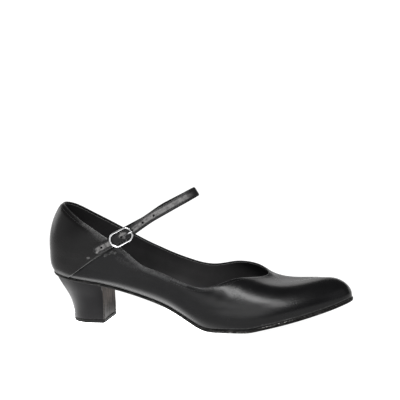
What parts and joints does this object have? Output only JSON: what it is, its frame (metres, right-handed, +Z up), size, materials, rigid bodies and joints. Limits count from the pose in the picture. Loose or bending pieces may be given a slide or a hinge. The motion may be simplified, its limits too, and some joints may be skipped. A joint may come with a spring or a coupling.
{
  "type": "dance shoe",
  "caption": "Low-heeled leather character dance shoe for the right foot, with an instep strap and side buckle, thin flexible sole, arched waist and almond toe",
  "frame": {"origin": "centre of the shoe's box, on the floor that it stands on", "axes": "+X to the toe, +Y to the inner (medial) side of the foot, +Z up"},
  "size_m": [0.2598, 0.0834, 0.1125],
  "materials": {
    "upper_leather": "black smooth leather, soft semi-gloss",
    "strap_leather": "black smooth leather strip with stitched edges",
    "sole_leather": "black dyed sole leather, scuffed edge",
    "insole_lining": "black matt lining leather",
    "heel_cover": "black leather cover over the heel block",
    "heel_rubber": "black rubber lift",
    "buckle_metal": "polished plated wire"
  },
  "bodies": {
    "root": {"upper": "upper_leather", "outsole": "sole_leather", "insole": "insole_lining", "heel": "heel_cover", "top_piece": "heel_rubber", "strap": "strap_leather", "buckle_tab": "strap_leather", "buckle_frame": "buckle_metal", "buckle_prong": "buckle_metal"}
  },
  "joints": []
}
